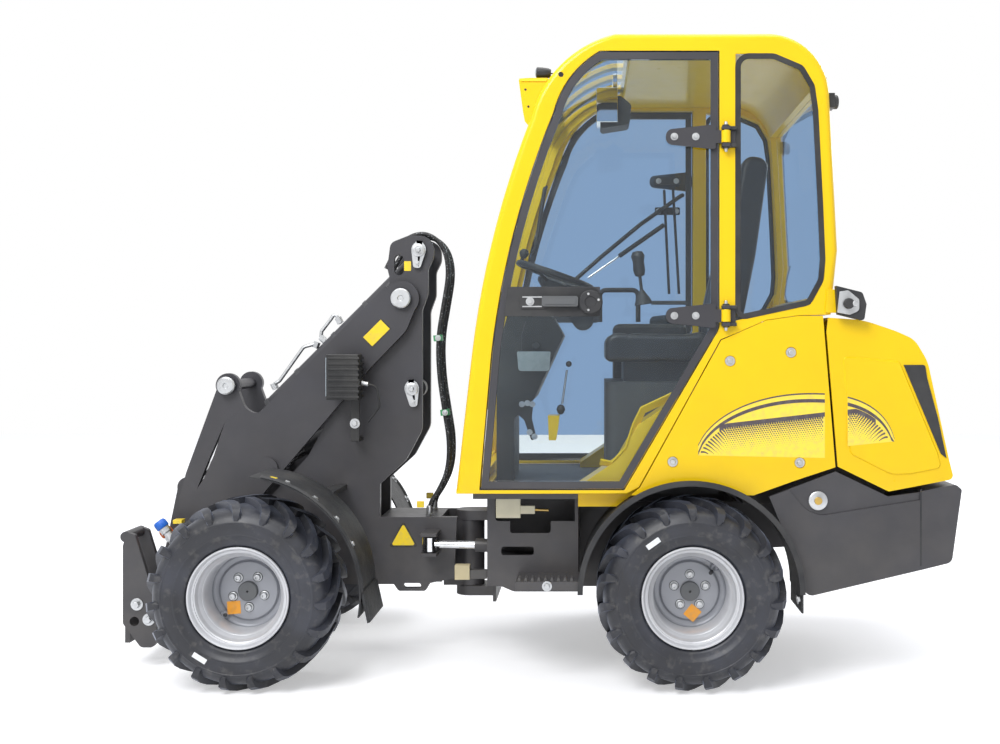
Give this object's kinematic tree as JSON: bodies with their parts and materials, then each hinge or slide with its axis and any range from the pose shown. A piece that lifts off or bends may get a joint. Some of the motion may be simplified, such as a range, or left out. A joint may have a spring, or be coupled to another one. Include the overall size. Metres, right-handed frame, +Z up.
{
  "type": "compact wheel loader",
  "caption": "Compact articulated wheel loader with closed cab, front boom, quick hitch, side doors, rear hood and lugged tyres.",
  "frame": {"origin": "on the floor under the middle of the machine's overall box", "axes": "-X is forward, +Z up, -Y the machine's left side"},
  "size_m": [2.9274, 1.288, 2.21],
  "materials": {
    "anthracite": "satin",
    "yellow": "gloss",
    "glass": "tinted",
    "tyre": "matt",
    "rim": "satin silver",
    "vinyl": "grained",
    "black_plastic": "matt",
    "grey_plastic": "matt",
    "chrome": "polished",
    "mirror": "polished",
    "iron": "cast",
    "hose": "matt",
    "lamp": "gloss"
  },
  "bodies": {
    "rear_body": {"rear_frame": "anthracite", "cab_subframe": "anthracite", "rear_axle": "iron", "engine_block": "iron", "skirts": "anthracite", "rear_bumper": "anthracite", "side_panels": "yellow", "rear_fenders": "black_plastic", "steps": "anthracite", "cab_frame": "yellow", "cab_floor": "grey_plastic", "cab_glass": "glass", "wheel_boxes": "yellow", "door_hinges": "anthracite", "seat_base": "grey_plastic", "seat_cushion": "vinyl", "seat_back": "vinyl", "dashboard": "black_plastic", "steering_wheel": "black_plastic", "side_console": "black_plastic", "roof_lamps": "yellow", "interior_mirror": "mirror"},
    "front_body": {"front_frame": "anthracite", "steering_clevis": "anthracite", "front_axle": "iron", "front_fenders": "black_plastic", "work_lamps": "lamp", "hoses": "hose"},
    "boom_body": {"boom": "anthracite"},
    "hitch_body": {"quick_hitch": "anthracite"},
    "lift_barrel_body": {"lift_barrel": "anthracite"},
    "lift_rod_body": {"lift_rod": "chrome"},
    "tilt_barrel_body": {"tilt_barrel": "anthracite"},
    "tilt_rod_body": {"tilt_rod": "chrome"},
    "steering_barrel_body": {"steering_barrel": "anthracite"},
    "steering_rod_body": {"steering_rod": "chrome"},
    "door_left_body": {"door_left": "anthracite", "door_pane_left": "glass"},
    "door_right_body": {"door_right": "anthracite", "door_pane_right": "glass"},
    "hood_body": {"hood": "yellow", "tail_inserts": "black_plastic"},
    "wheel_front_left": {"tyre_front_left": "tyre", "rim_front_left": "rim"},
    "wheel_front_right": {"tyre_front_right": "tyre", "rim_front_right": "rim"},
    "wheel_rear_left": {"tyre_rear_left": "tyre", "rim_rear_left": "rim"},
    "wheel_rear_right": {"tyre_rear_right": "tyre", "rim_rear_right": "rim"}
  },
  "joints": [
    {"name": "articulation", "type": "hinge", "parent": "rear_body", "child": "front_body", "pos_m": [-0.25, 0, 0.36], "axis": [0, 0, 1], "range_deg": [-35, 35]},
    {"name": "boom_lift", "type": "hinge", "parent": "front_body", "child": "boom_body", "pos_m": [-0.492, 0, 1.326], "axis": [0, 1, 0], "range_deg": [0, 95]},
    {"name": "hitch_tilt", "type": "hinge", "parent": "boom_body", "child": "hitch_body", "pos_m": [-1.345, 0, 0.215], "axis": [0, 1, 0], "range_deg": [-90, 40]},
    {"name": "lift_barrel_swing", "type": "hinge", "parent": "front_body", "child": "lift_barrel_body", "pos_m": [-0.456, 0, 0.99], "axis": [0, 1, 0], "range_deg": [-5, 120]},
    {"name": "lift_rod_slide", "type": "slide", "parent": "lift_barrel_body", "child": "lift_rod_body", "axis": [-0.8769, 0, -0.4807], "range_m": [-0.02, 0.52]},
    {"name": "tilt_barrel_swing", "type": "hinge", "parent": "front_body", "child": "tilt_barrel_body", "pos_m": [-0.431, 0, 1.506], "axis": [0, 1, 0], "range_deg": [-5, 120]},
    {"name": "tilt_rod_slide", "type": "slide", "parent": "tilt_barrel_body", "child": "tilt_rod_body", "axis": [-0.7063, 0, -0.7079], "range_m": [-0.2, 0.45]},
    {"name": "steering_barrel_swing", "type": "hinge", "parent": "rear_body", "child": "steering_barrel_body", "pos_m": [0.1, -0.265, 0.425], "axis": [0, 0, 1], "range_deg": [-7, 7]},
    {"name": "steering_rod_slide", "type": "slide", "parent": "steering_barrel_body", "child": "steering_rod_body", "axis": [-0.991, 0.1336, 0], "range_m": [-0.13, 0.13]},
    {"name": "door_left_swing", "type": "hinge", "parent": "rear_body", "child": "door_left_body", "pos_m": [0.664, -0.541, 1.5], "axis": [0, 0, 1], "range_deg": [0, 95]},
    {"name": "door_right_swing", "type": "hinge", "parent": "rear_body", "child": "door_right_body", "pos_m": [0.664, 0.541, 1.5], "axis": [0, 0, -1], "range_deg": [0, 95]},
    {"name": "hood_lift", "type": "hinge", "parent": "rear_body", "child": "hood_body", "pos_m": [1.035, 0, 1.222], "axis": [0, -1, 0], "range_deg": [0, 55]},
    {"name": "spin_front_left", "type": "hinge", "parent": "front_body", "child": "wheel_front_left", "pos_m": [-0.955, -0.492, 0.318], "axis": [0, 1, 0], "continuous": true},
    {"name": "spin_front_right", "type": "hinge", "parent": "front_body", "child": "wheel_front_right", "pos_m": [-0.955, 0.492, 0.318], "axis": [0, 1, 0], "continuous": true},
    {"name": "spin_rear_left", "type": "hinge", "parent": "rear_body", "child": "wheel_rear_left", "pos_m": [0.545, -0.492, 0.318], "axis": [0, 1, 0], "continuous": true},
    {"name": "spin_rear_right", "type": "hinge", "parent": "rear_body", "child": "wheel_rear_right", "pos_m": [0.545, 0.492, 0.318], "axis": [0, 1, 0], "continuous": true}
  ],
  "couplings": [
    {"joint": "lift_barrel_swing", "follows": "boom_lift", "ratio": 0.882},
    {"joint": "lift_rod_slide", "follows": "boom_lift", "m_per_rad": 0.285},
    {"joint": "tilt_barrel_swing", "follows": "boom_lift", "ratio": 0.952},
    {"joint": "tilt_rod_slide", "follows": "hitch_tilt", "m_per_rad": -0.275},
    {"joint": "steering_barrel_swing", "follows": "articulation", "ratio": 0.175},
    {"joint": "steering_rod_slide", "follows": "articulation", "m_per_rad": -0.209}
  ]
}
